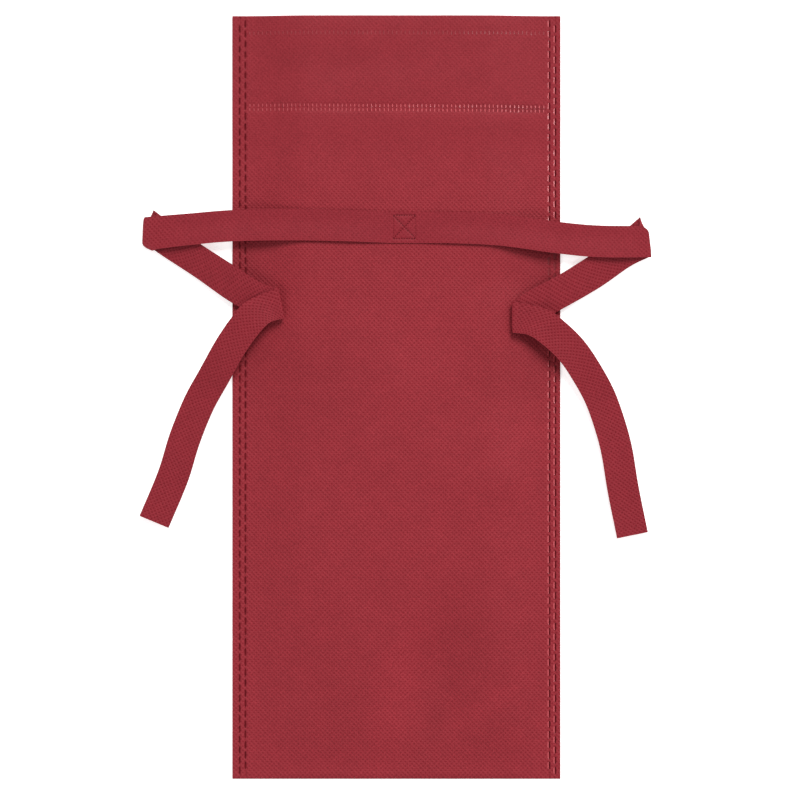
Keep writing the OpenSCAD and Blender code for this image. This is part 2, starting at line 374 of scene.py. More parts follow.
def folded_sheet(name, points, rows, cuts, flip=False):
    left, right = strip_columns("left"), strip_columns("right")
    mid = np.linspace(-(SEAM_X - 2.3), SEAM_X - 2.3, 70)
    fine_rows, at = [], []
    for i, k in enumerate(cuts):
        at.append(len(fine_rows))
        fine_rows += [rows[i] + (rows[i + 1] - rows[i]) * j / k for j in range(k)]
    at.append(len(fine_rows))
    fine_rows.append(rows[-1])
    fine_rows, coarse = np.array(fine_rows), np.array(rows)
    V, lay, blocks = [], [], []
    n = 0
    for xs, ss in ((left, fine_rows), (mid, coarse), (right, fine_rows)):
        X, S = np.meshgrid(xs, ss)
        o, i = points(X, S)
        V += [o.reshape(-1, 3), i.reshape(-1, 3)]
        uv = np.stack([X, S, X * 0], -1).reshape(-1, 3)
        lay += [uv, uv + [37.0, 11.0, 0]]
        cnt = X.size
        blocks.append((n, n + cnt, len(xs), len(ss)))
        n += 2 * cnt
    F = []

    def face(ids, inner):
        F.append(tuple(ids) if (not inner) ^ flip else tuple(reversed(ids)))

    for start in (0, 1):
        inner = start == 1
        for b in blocks:
            base, m = b[start], b[2]
            for r in range(b[3] - 1):
                for c in range(m - 1):
                    p = base + r * m + c
                    face((p, p + 1, p + m + 1, p + m), inner)
        (lb, mb, rb) = (b[start] for b in blocks)
        lm, mm_, rm = blocks[0][2], blocks[1][2], blocks[2][2]
        for r in range(len(coarse) - 1):
            a, z = at[r], at[r + 1]
            L = [lb + q * lm + lm - 1 for q in range(a, z + 1)]
            face([L[0], mb + r * mm_, mb + (r + 1) * mm_] + L[:0:-1], inner)
            R = [rb + q * rm for q in range(a, z + 1)]
            face([mb + r * mm_ + mm_ - 1] + R + [mb + (r + 1) * mm_ + mm_ - 1], inner)
    # rims: the cut edges of the sheet
    (l0, l1, lm, ln), (m0, m1, mc, mn), (r0, r1, rm, rn) = blocks

    def rim(pairs):
        for (a, b), (c, d) in zip(pairs[:-1], pairs[1:]):
            F.append((a, b, d, c) if flip else (a, c, d, b))

    for row_l, row_m, row_r, rev in ((0, 0, 0, True), (ln - 1, mn - 1, rn - 1, False)):
        pairs = [(l0 + row_l * lm + c, l1 + row_l * lm + c) for c in range(lm)]
        pairs += [(m0 + row_m * mc + c, m1 + row_m * mc + c) for c in range(mc)]
        pairs += [(r0 + row_r * rm + c, r1 + row_r * rm + c) for c in range(rm)]
        rim(pairs if rev else pairs[::-1])
    rim([(l0 + r * lm, l1 + r * lm) for r in range(ln)][::-1])
    rim([(r0 + r * rm + rm - 1, r1 + r * rm + rm - 1) for r in range(rn)])
    V = np.concatenate(V)
    # painted light and shade on the front sheet, none on the back sheet
    painted_light_shade = painted_shading(V[:, 0], V[:, 1]) if name.startswith("front") else np.zeros(len(V))
    return add_mesh(name, V, F, np.concatenate(lay), painted_light_shade=painted_light_shade)


p_rows, p_cuts = sheet_rows(L_FOLD, 4)
f_rows = [L_FOLD * j / 8 for j in range(8)] + p_rows
f_cuts = [1] * 8 + p_cuts
s_top = L_FOLD + L_PANEL
f_rows += [s_top + L_FOLD * j / 8 for j in range(1, 9)]
f_cuts += [1] * 8
n_fac = 16
f_rows += [s_top + L_FOLD + L_FACING * j / n_fac for j in range(1, n_fac + 1)]
f_cuts += [1] * n_fac
front = folded_sheet("front_sheet", front_points, f_rows, f_cuts)

b_rows, b_cuts = sheet_rows(0.0, 4)
b_rows += [L_PANEL + L_FOLD * j / 8 for j in range(1, 9)]
b_cuts += [1] * 8
b_rows += [L_PANEL + L_FOLD + L_FACING * j / n_fac for j in range(1, n_fac + 1)]
b_cuts += [1] * n_fac
back = folded_sheet("back_sheet", back_points, b_rows, b_cuts, flip=True)


# ---------------------------------------------------------------- fused welds
def nugget_grid(cx, cy, hx, hy, nx, ny, turn=0.0):
    """Plan points of one weld spot with rounded ends."""
    pts = []
    for j in range(ny):
        v = -1 + 2 * j / (ny - 1)
        w = math.sqrt(max(0.0, 1 - abs(v) ** 5)) * 0.86 + 0.14
        for i in range(nx):
            u = -1 + 2 * i / (nx - 1)
            pts.append((u * hx * w, v * hy))
    c, s = math.cos(turn), math.sin(turn)
    return [(cx + c * a - s * b, cy + s * a + c * b) for a, b in pts]


class Spots:
    """Collects thin closed spots of fused film into one mesh."""

    def __init__(self):
        self.V, self.F, self.L = [], [], []

    def add(self, plan, nx, ny, top, depth=0.06, down=False, dark=None):
        base = len(self.V)
        P = np.array(plan)
        shade = np.ones(len(P)) if dark is None else np.asarray(dark(P[:, 0], P[:, 1]), float) + 0 * P[:, 0]
        z = np.asarray(top(P[:, 0], P[:, 1]), float)
        sgn = -1.0 if down else 1.0
        k = nx * ny
        for (x, y), h in zip(plan, z):
            self.V.append((x, y, h))
        for (x, y), h in zip(plan, z):
            self.V.append((x, y, h - sgn * depth))
        self.L += [(x, y, float(q)) for (x, y), q in zip(plan, shade)] * 2
        fs = []
        for j in range(ny - 1):
            for i in range(nx - 1):
                p = base + j * nx + i
                fs.append((p, p + 1, p + nx + 1, p + nx))
                q = p + k
                fs.append((q, q + nx, q + nx + 1, q + 1))
        ring = [j for j in range(nx)] + [nx * j + nx - 1 for j in range(1, ny)] + \
            [nx * (ny - 1) + i for i in range(nx - 2, -1, -1)] + [nx * j for j in range(ny - 2, 0, -1)]
        for a, b in zip(ring, ring[1:] + ring[:1]):
            fs.append((base + a, base + k + a, base + k + b, base + b))
        self.F += [tuple(reversed(f)) for f in fs] if down else fs

    def mesh(self, name):
        return add_mesh(name, self.V, self.F, self.L, sharp=60)


rng = np.random.default_rng(5)
weld_pieces = []
for node, (x0, hw, phase, openness) in ROWS.items():
    sp = Spots()
    first = math.ceil((-HALF_H + 1.5) / PITCH - phase - 0.5)
    last = math.floor((HALF_H - 1.5) / PITCH - phase - 0.5)
    for k in range(first, last + 1):
        cy = (k + phase + 0.5) * PITCH
        if abs(cy) > HALF_H - 2.4:
            continue
        hy = min(2.0, HALF_H - 0.7 - abs(cy)) * rng.uniform(0.93, 1.03)
        fade = 1.0
        if node.startswith("right"):
            fade = 0.62 + 0.38 * float(smooth((cy + 40) / 120))
        jx = rng.uniform(-0.04, 0.04)
        if openness:
            # the long wall catches the light; lower down the fused film lies flatter
            tilt = rng.uniform(-0.03, 0.04) + 0.16 * (1 - fade) * rng.uniform(0.3, 1.5)
            if node.endswith("inner"):
                tilt += rng.uniform(-0.02, 0.07)
            plan = nugget_grid(x0 - 0.04 + jx, cy, 0.72, hy, 11, 9)
            flat = 1.0 if 52 < cy < 84 else 0.0       # under the ribbon the dashes are tilted off the glint and painted wholly dark, a painted shadow of the ribbon
            tilt += 0.35 * flat
            # the long wall shows the bright red film, a painted highlight, and the steep side the dark film, which
            # stands partly for painted shade in the groove
            sp.add(plan, 11, 9, lambda a, b: front_z(a, b) + 0.03 + tilt * np.clip(a - x0 + 0.05, -0.7, 0) + 0.7 * tilt * (tilt > 0),
                   dark=lambda a, b: np.maximum(smooth((a - x0 + 0.34) / 0.14), flat) * (1 - 0.20 * flat))
        else:
            plan = nugget_grid(x0 + jx, cy, 0.52 * hw, hy * 1.06, 7, 9)
            sp.add(plan, 7, 9, lambda a, b: front_z(a, b) + 0.03)
        plan = nugget_grid(x0, cy, 0.34, hy, 5, 7)
        sp.add(plan, 5, 7, lambda a, b: np.maximum(back_z(a, b) - 0.03, 0.01), down=True)
    ob = sp.mesh(node + "_spots")
    if openness:
        dull_side = [(np.mean([ob.data.vertices[i].co.x for i in f.vertices]) / MM - x0) > -0.28 for f in ob.data.polygons]
        ob["dull_faces"] = [int(q) for q in dull_side]
    weld_pieces.append(ob)
    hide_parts(node)

BAR = 2.2


def bars(y_mid, length, front_side, half=0.34, lift=0.05, seed=3, only=None):
    sp = Spots()
    g = np.random.default_rng(seed)
    n = int(SEAM_X * 2 / BAR)
    for yy in y_mid:
        for i in range(n):
            cx = -SEAM_X + 1.6 + i * BAR + g.uniform(-0.09, 0.09)
            if cx > SEAM_X - 0.9:
                continue
            cy = yy + g.uniform(-0.07, 0.07) + (hem_weld_y(cx) - HEM_WELD if abs(yy - HEM_WELD) < 3 else 0)
            strength = 0.47 * (0.45 + 0.55 * float(smooth((cx + 80) / 90))) * g.uniform(0.84, 1.06)
            strength *= 0.86 - 0.14 * math.cos(2 * math.pi * (cx - 1) / 24)
            if yy < HEM_WELD:
                strength *= 0.70 + 0.22 * float(smooth((cx - 30) / 40))
            if only:
                strength = 0.45 * only(cx) * g.uniform(0.85, 1.1)
            hx, hy = half * g.uniform(0.85, 1.1), length / 2 * g.uniform(0.9, 1.08)
            plan = nugget_grid(cx, cy, hx, hy, 5, 6, g.uniform(-0.05, 0.05))

            def top(a, b, cx=cx, hx=hx, s=strength, cy=cy, hy=hy):
                dome = 1 - np.clip((a - cx) / hx, -1, 1) ** 2
                ends = 1 - np.clip(np.abs(b - cy) / hy, 0, 1) ** 4
                if front_side:
                    # a small facet that leans to the right by the same angle wherever it is on the panel
                    base = front_z(np.array([cx - hx, cx, cx + hx]), np.full(3, cy))
                    own = (base[0] - base[2]) / (2 * hx)
                    return base[1] + lift + abs(s - own) * hx - s * (a - cx) + 0.02 * ends
                return np.maximum(back_z(a, b) - 0.04 - 0.05 * dome * ends, 0.01)
            # towards the right the bars show mostly the bright red film, a painted highlight; towards the left more of
            # the dark film
            film = 0.62 if only else 0.16 + 0.24 * (1 - float(smooth((cx + 75) / 100)))
            sp.add(plan, 5, 6, top, depth=0.10, down=not front_side, dark=lambda a, b: film)
    return sp


sp = bars((HEM_WELD - 1.12, HEM_WELD + 1.12), 1.8, True, half=0.29)
hem_front = sp.mesh("front_hem_weld_lower_bars")
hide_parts("front_hem_weld_lower")
sp = bars((EDGE_WELD,), 2.1, True, half=0.20, lift=0.02, seed=8,
          only=lambda x: 0.62 + 0.36 * math.exp(-((x - 54) / 26) ** 2))
edge_front = sp.mesh("front_hem_weld_upper_bars")
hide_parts("front_hem_weld_upper")
sp = bars((HEM_WELD - 1.15, HEM_WELD + 1.15), 1.6, False, seed=21)
hem_back = sp.mesh("back_hem_weld_lower_bars")
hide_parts("back_hem_weld_lower")
sp = bars((EDGE_WELD,), 1.5, False, half=0.22, seed=22)
edge_back = sp.mesh("back_hem_weld_upper_bars")
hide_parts("back_hem_weld_upper")
weld_pieces += [hem_front, edge_front, hem_back, edge_back]

# ---------------------------------------------------------------- ribbon
cen_lo, cen_hi = box_mm("ribbon_centre")
RIB_T = cen_hi[2] - cen_lo[2]
BOX_LO, BOX_HI = box_mm("ribbon_box_weld")
BOX_X, BOX_Y = (BOX_LO[0] + BOX_HI[0]) / 2, (BOX_LO[1] + BOX_HI[1]) / 2
ARM_Y = (cen_lo[1] + cen_hi[1]) / 2
RW = (cen_hi[1] - cen_lo[1]) / 2
GAP = 0.3
PLATEAU = BOX_LO[2]


def rest(x):
    return PLATEAU - 4.6 * smooth((np.abs(x) - 45) / 85)


# Edges of the ribbon in plan, at the near and at the far side of each strip:
# v = -1 and v = +1 follow the same two edges of the ribbon through its folds.
LEFT_ARM = [((-2.2, ARM_Y - RW), (-2.2, ARM_Y + RW)), ((-30, 81.8), (-30, 98.3)), ((-58, 82.2), (-58, 98.7)),
            ((-86, 81.7), (-85.4, 98.2)), ((-110, 79.6), (-108.5, 96.4)), ((-133.2, 76.9), (-132.6, 94.5))]
LEFT_MID = [((-131.2, 80.8), (-126.9, 98.0)), ((-124.6, 75.6), (-115.3, 89.2)), ((-105.8, 63.3), (-101.5, 79.7)),
            ((-86.4, 49.8), (-85.6, 69.5)), ((-72.5, 43.6), (-70.5, 60.0)), ((-59.3, 41.3), (-62.7, 57.5))]
LEFT_TAIL = [(-72.5, 44.6), (-79.8, 36.7), (-87.2, 25.9), (-95.4, 11.3), (-103.4, -3.1), (-110.9, -21.6),
             (-117, -41.2), (-127, -65.2)]
LEFT_TAIL0 = ((-59.3, 41.3), (-62.7, 57.5))
RIGHT_ARM = [((10.6, ARM_Y + RW), (10.6, ARM_Y - RW)), ((32, 97.1), (32, 80.6)), ((56, 95.8), (55.4, 79.3)),
             ((86.4, 91.8), (85.2, 75.3)), ((106, 90.1), (105.2, 73.5)), ((132.0, 89.9), (133.4, 73.4))]
RIGHT_MID = [((127.6, 94.5), (132.5, 73.6)), ((113.2, 82.2), (122.3, 68.6)), ((98.8, 72.7), (106.4, 57.6)),
             ((84.4, 63.8), (86.5, 46.2)), ((70.2, 56.4), (72.5, 39.4)), ((61.3, 50.3), (61.3, 33.9))]
RIGHT_TAIL = [(73.9, 39.4), (82.4, 33.6), (91.6, 24.7), (99.4, 13.4), (106.6, 0.3), (112, -14.7),
              (115.6, -28.5), (118.8, -47.9), (123.7, -72.2)]
RIGHT_TAIL0 = ((61.3, 50.3), (61.3, 33.9))


def tail_rows(path, first):
    """Edges of a tail from its middle line."""
    p = [np.array(q, float) for q in path]
    rows = [first]
    for i in range(len(p)):
        a, b = p[max(0, i - 1)], p[min(len(p) - 1, i + 1)]
        d = (b - a) / np.linalg.norm(b - a)
        s = np.array([d[1], -d[0]]) * RW
        rows.append((tuple(p[i] - s), tuple(p[i] + s)))
    return rows


def through(points, n):
    """Smooth curve through points, in 40 steps to each span between them. The argument n is not used."""
    P = np.array(points, float)
    P = np.vstack([2 * P[0] - P[1], P, 2 * P[-1] - P[-2]])
    dense = []
    for i in range(1, len(P) - 2):
        t = np.linspace(0, 1, 40, endpoint=False)[:, None]
        a, b, c, d = P[i - 1], P[i], P[i + 1], P[i + 2]
        dense.append(0.5 * (2 * b + (c - a) * t + (2 * a - 5 * b + 4 * c - d) * t ** 2 + (3 * b - a - 3 * c + d) * t ** 3))
    dense = np.vstack(dense + [P[-2][None]])
    return dense


def strip_plan(rows, step):
    """Grid of plan points, rows along and two edges, from the rows' two edges."""
    a = through([r[0] for r in rows], 0)
    b = through([r[1] for r in rows], 0)
    mid = (a + b) / 2
    s = np.concatenate([[0], np.cumsum(np.linalg.norm(np.diff(mid, axis=0), axis=1))])
    n = max(8, int(round(s[-1] / step)))
    t = np.linspace(0, s[-1], n + 1)
    pick = lambda q: np.stack([np.interp(t, s, q[:, 0]), np.interp(t, s, q[:, 1])], -1)
    return pick(a), pick(b), t


ACROSS = 15
VS = np.linspace(-1, 1, ACROSS)


def ribbon_half(side):
    left = side == "left"
    sg = -1.0 if left else 1.0
    arm_a, arm_b, arm_s = strip_plan(LEFT_ARM if left else RIGHT_ARM, 1.6)
    mid_a, mid_b, mid_s = strip_plan(LEFT_MID if left else RIGHT_MID, 1.6)
    tail_a, tail_b, tail_s = strip_plan(
        tail_rows(LEFT_TAIL, LEFT_TAIL0) if left else tail_rows(RIGHT_TAIL, RIGHT_TAIL0), 1.6)
    half = RIB_T / 2
    x_root = -2.2 if left else 10.6
    v = VS[None, :]

    def grid(a, b):
        m = (v[..., None] + 1) / 2
        return a[:, None, :] * (1 - m) + b[:, None, :] * m

    # arm, whose end is rounded where it turns under
    P = grid(arm_a, arm_b)
    left_of = arm_s[:, None]
    to_end = (arm_s[-1] - arm_s)[:, None]
    if left:
        trim = 5.2 * np.clip((-v - 0.55) / 0.45, 0, 1) ** 2.2 + 0.7 * np.clip((v - 0.75) / 0.25, 0, 1) ** 2
    else:
        trim = 3.3 * np.clip((-v - 0.60) / 0.40, 0, 1) ** 1.8 + 0.15 * np.clip((v - 0.8) / 0.2, 0, 1) ** 2
    P[..., 0] -= sg * trim * (1 - smooth(to_end / 9))
    x = P[..., 0]
    z = rest(x) + 0.1 + (GAP - 0.1) * smooth(left_of / 15) + 1.3 * smooth((np.abs(x) - HALF_W + 8) / 20) + half
    low_edge = -v if left else v            # +1 at the edge towards the bottom of the bag
    z = z + smooth(left_of / 24) * smooth(to_end / 22) * (
        0.75 * smooth((low_edge + 0.35) / 1.35) + 0.18 * smooth((-low_edge - 0.3) / 0.7))
    z = z + smooth(left_of / 30) * smooth(to_end / 20) * 0.22 * np.sin(left_of / 17 + (1 if left else 2.3))
    z = z + 0.30 * (1 - smooth(to_end / 7))
    arm = np.dstack([P, z])

    # middle, which lies below, its other face up
    P = grid(mid_a, mid_b)
    x = P[..., 0]
    s0, s1 = mid_s[:, None], (mid_s[-1] - mid_s)[:, None]
    z = rest(x) + GAP + half
    z = z - 0.35 * (1 - smooth(s0 / 7)) - 0.25 * (1 - smooth(s1 / 7))
    # its lower edge droops beside the bag
    z = z - smooth(s0 / 22) * smooth(s1 / 16) * 1.7 * ((low_edge + 1) / 2) ** 1.4
    middle = np.dstack([P, z])

    # tail
    P = grid(tail_a, tail_b)
    x = P[..., 0]
    s = tail_s[:, None]
    z = rest(x) + GAP + (0.8 + 1.7 * smooth(s / 20)) * (1 - smooth((s - 36) / 34)) + half
    z = z + 0.25 * (1 - smooth(s / 7))
    z = z + smooth(s / 16) * (0.45 * smooth((v * sg * -1 + 0.2) / 1.2) + 0.12 * np.sin(s / 13))
    z = z + 0.6 * smooth((s - tail_s[-1] + 22) / 22)
    tail = np.dstack([P, z])

    def loop(end, start, out_dir, bulge, early=1.0):
        """Rows round a fold, from one strip's last row to the next one's first."""
        rows = []
        bulge = bulge * (0.45 + 0.55 * (1 - np.abs(VS[:, None]) ** 4))
        if early > 1 and not left:
            bulge = bulge * (0.15 + 0.85 * smooth((VS[:, None] + 0.9) / 0.5))
        for k in range(1, 10):
            ph = math.pi * k / 10
            f = float(smooth(k / 10 * early)) if early > 1 else k / 10
            xy = end[:, :2] * (1 - f) + start[:, :2] * f + np.array(out_dir)[None, :] * bulge * math.sin(ph)
            if early > 1:
                # the corner tucks in under the strip before the tip of the lower one comes out behind it
                tip = VS[:, None] if left else -VS[:, None]
                xy = xy + np.array([0.25 * -sg, -0.97])[None, :] * 3.4 * smooth((tip - 0.45) / 0.55) * math.sin(math.pi * f)
            zc, dz = (end[:, 2] + start[:, 2]) / 2, (end[:, 2] - start[:, 2]) / 2
            rows.append(np.column_stack([xy, zc + dz * math.cos(ph)]))
        return np.array(rows)

    if left:
        out1, out2 = (-0.970, 0.245), (0.976, 0.217)
    else:
        out1, out2 = (0.976, 0.217), (-1.0, 0.0)
    l1 = loop(arm[-1], middle[0], out1, 0.62, 1.55)
    l2 = loop(middle[-1], tail[0], out2, 0.80)
    whole = np.concatenate([arm, l1, middle, l2, tail])
    # distance along the ribbon
    c = whole[:, ACROSS // 2]
    s = np.concatenate([[0], np.cumsum(np.linalg.norm(np.diff(c, axis=0), axis=1))])
    du = np.gradient(whole, axis=0)
    dv = np.gradient(whole, axis=1)
    nrm = np.cross(du, dv)
    nrm /= np.linalg.norm(nrm, axis=2, keepdims=True)
    if nrm[2, ACROSS // 2, 2] < 0:
        nrm = -nrm
    nrm[0] = (0, 0, 1)
    n_arm, n_l1, n_mid, n_l2 = len(arm), len(l1), len(middle), len(l2)
    near = 4                                  # rows of each strip that go with a fold, about 6 mm
    a0 = n_arm - near
    a1 = n_arm + n_l1 + near
    a2 = n_arm + n_l1 + n_mid - near
    a3 = n_arm + n_l1 + n_mid + n_l2 + near
    cuts = {"arm": (0, a0), "outer_fold": (a0 - 1, a1), "middle": (a1 - 1, a2), "inner_fold": (a2 - 1, a3),
            "tail": (a3 - 1, len(whole))}
    out = {}
    for name, (i, j) in cuts.items():
        out[name] = strip_mesh(f"ribbon_{side}_{name}_strip", whole[i:j], nrm[i:j], s[i:j], flip=not left)
    sizes = {name: (s[j - 1] - s[i]) for name, (i, j) in cuts.items()}
    zc1 = float((arm[-1, :, 2].mean() + middle[0, :, 2].mean()) / 2)
    zc2 = float((middle[-1, :, 2].mean() + tail[0, :, 2].mean()) / 2)
    return out, sizes, zc1, zc2


def strip_mesh(name, C, N, s, flip):
    n, m = C.shape[:2]
    up, down = C + N * RIB_T / 2, C - N * RIB_T / 2
    V = np.concatenate([up.reshape(-1, 3), down.reshape(-1, 3)])
    lay = np.zeros((n, m, 3))
    lay[..., 0], lay[..., 1] = VS[None, :] * RW, s[:, None]
    L = np.concatenate([lay.reshape(-1, 3), lay.reshape(-1, 3) + [23.0, 7.0, 0]])
    k = n * m
    F = []

    def face(*ids):
        F.append(tuple(reversed(ids)) if flip else tuple(ids))

    for r in range(n - 1):
        for c in range(m - 1):
            p = r * m + c
            face(p, p + m, p + m + 1, p + 1)
            q = p + k
            face(q, q + 1, q + m + 1, q + m)
    ring = [(c) for c in range(m)] + [(r * m + m - 1) for r in range(1, n)] + \
        [((n - 1) * m + c) for c in range(m - 2, -1, -1)] + [(r * m) for r in range(n - 2, 0, -1)]
    for a, b in zip(ring, ring[1:] + ring[:1]):
        face(a, b, b + k, a + k)
    ob = add_mesh(name, V, F, L, sharp=50)
    # faces outwards whichever way the strip was wound
    import bmesh
    bm = bmesh.new()
    bm.from_mesh(ob.data)
    bmesh.ops.recalc_face_normals(bm, faces=bm.faces)
    bm.to_mesh(ob.data)
    bm.free()
    ob.data.set_sharp_from_angle(angle=math.radians(50))
    return ob


# the part under the boxed cross, held down on the bag
def seg_dist(x, y, a, b):
    a, b = np.array(a, float), np.array(b, float)
    d = b - a
    t = np.clip(((x - a[0]) * d[0] + (y - a[1]) * d[1]) / (d @ d), 0, 1)
    return np.hypot(x - a[0] - t * d[0], y - a[1] - t * d[1])


BX0, BX1, BY0, BY1 = BOX_LO[0] + 0.35, BOX_HI[0] - 0.35, BOX_LO[1] + 0.35, BOX_HI[1] - 0.35
BOX_LINES = [((BX0, BY0), (BX1, BY0)), ((BX1, BY0), (BX1, BY1)), ((BX1, BY1), (BX0, BY1)), ((BX0, BY1), (BX0, BY0)),
             ((BX0, BY0), (BX1, BY1)), ((BX0, BY1), (BX1, BY0))]


def centre_z(x, y, weld=True):
    z = PLATEAU + 0.1 + RIB_T + 0.0 * x
    if weld:
        d = np.min([seg_dist(x, y, a, b) for a, b in BOX_LINES], axis=0)
        z = z - 0.30 * np.exp(-(d / 0.46) ** 2)
        # the four fields of the cross stand up a little
        z = z + 0.10 * smooth((d - 0.4) / 1.8) * (np.abs(x - BOX_X) < 6) * (np.abs(y - BOX_Y) < 6)
    return z


nx_, ny_ = 41, 51
xs = np.linspace(-2.2, 10.6, nx_)
ys = np.linspace(ARM_Y - RW, ARM_Y + RW, ny_)
X, Y = np.meshgrid(xs, ys)
edge = smooth(np.minimum(X - xs[0], xs[-1] - X) / 0.5)
Z = PLATEAU + 0.1 + RIB_T + (centre_z(X, Y) - PLATEAU - 0.1 - RIB_T) * edge
V = np.concatenate([np.stack([X, Y, Z], -1).reshape(-1, 3),
                    np.stack([X, Y, X * 0 + PLATEAU + 0.1], -1).reshape(-1, 3)])
L = np.concatenate([np.stack([Y - ARM_Y, X, X * 0], -1).reshape(-1, 3)] * 2)
F, k_ = [], nx_ * ny_
for r in range(ny_ - 1):
    for c in range(nx_ - 1):
        p = r * nx_ + c
        F += [(p, p + 1, p + nx_ + 1, p + nx_), (p + k_, p + k_ + nx_, p + k_ + nx_ + 1, p + k_ + 1)]
ring = [c for c in range(nx_)] + [r * nx_ + nx_ - 1 for r in range(1, ny_)] + \
    [(ny_ - 1) * nx_ + c for c in range(nx_ - 2, -1, -1)] + [r * nx_ for r in range(ny_ - 2, 0, -1)]
for a, b in zip(ring, ring[1:] + ring[:1]):
    F.append((a, a + k_, b + k_, b))
rib_centre = add_mesh("ribbon_centre_band", V, F, L)
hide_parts("ribbon_centre")

sp = Spots()
g = np.random.default_rng(17)
for a, b in BOX_LINES:
    a, b = np.array(a), np.array(b)
    length = np.linalg.norm(b - a)
    n = int(round(length / 1.28))
    ang = math.atan2(b[1] - a[1], b[0] - a[0]) - math.pi / 2
    for i in range(n):
        c = a + (b - a) * (i + 0.5) / n
        plan = nugget_grid(c[0], c[1], 0.30, 0.46 * g.uniform(0.85, 1.1), 4, 5, ang)
        sp.add(plan, 4, 5, lambda p, q: centre_z(p, q) + 0.03, depth=0.05)
box_weld = sp.mesh("ribbon_box_weld_spots")
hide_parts("ribbon_box_weld")
weld_pieces.append(box_weld)

ribbons = {side: ribbon_half(side) for side in ("left", "right")}


# ---------------------------------------------------------------- materials
def principled(name):
    m = bpy.data.materials.new(name)
    m.use_nodes = True
    nt = m.node_tree
    b = nt.nodes["Principled BSDF"]
    return m, nt, b


def math_node(nt, op, a, b=None, c=None, clamp=False):
    n = nt.nodes.new("ShaderNodeMath")
    n.operation = op
    n.use_clamp = clamp
    for i, v in enumerate((a, b, c)):
        if v is None:
            continue
        if isinstance(v, (int, float)):
            n.inputs[i].default_value = v
        else:
            nt.links.new(v, n.inputs[i])
    return n.outputs[0]


def map_range(nt, v, a, b, c, d, kind="SMOOTHSTEP"):
    n = nt.nodes.new("ShaderNodeMapRange")
    n.interpolation_type = kind
    nt.links.new(v, n.inputs["Value"])
    for k, q in (("From Min", a), ("From Max", b), ("To Min", c), ("To Max", d)):
        n.inputs[k].default_value = q
    return n.outputs["Result"]


def noise(nt, vec, scale, detail=2.0, rough=0.5, dist=0.0):
    n = nt.nodes.new("ShaderNodeTexNoise")
    n.inputs["Scale"].default_value = scale
    n.inputs["Detail"].default_value = detail
    n.inputs["Roughness"].default_value = rough
    n.inputs["Distortion"].default_value = dist
    nt.links.new(vec, n.inputs["Vector"])
    return n.outputs["Fac"]


def mapping(nt, vec, rot=0.0, scale=(1, 1, 1), loc=(0, 0, 0)):
    n = nt.nodes.new("ShaderNodeMapping")
    n.inputs["Rotation"].default_value = (0, 0, rot)
    n.inputs["Scale"].default_value = scale
    n.inputs["Location"].default_value = loc
    nt.links.new(vec, n.inputs["Vector"])
    return n.outputs["Vector"]


def lay_coord(nt):
    n = nt.nodes.new("ShaderNodeAttribute")
    n.attribute_name = "lay"
    return n.outputs["Vector"]


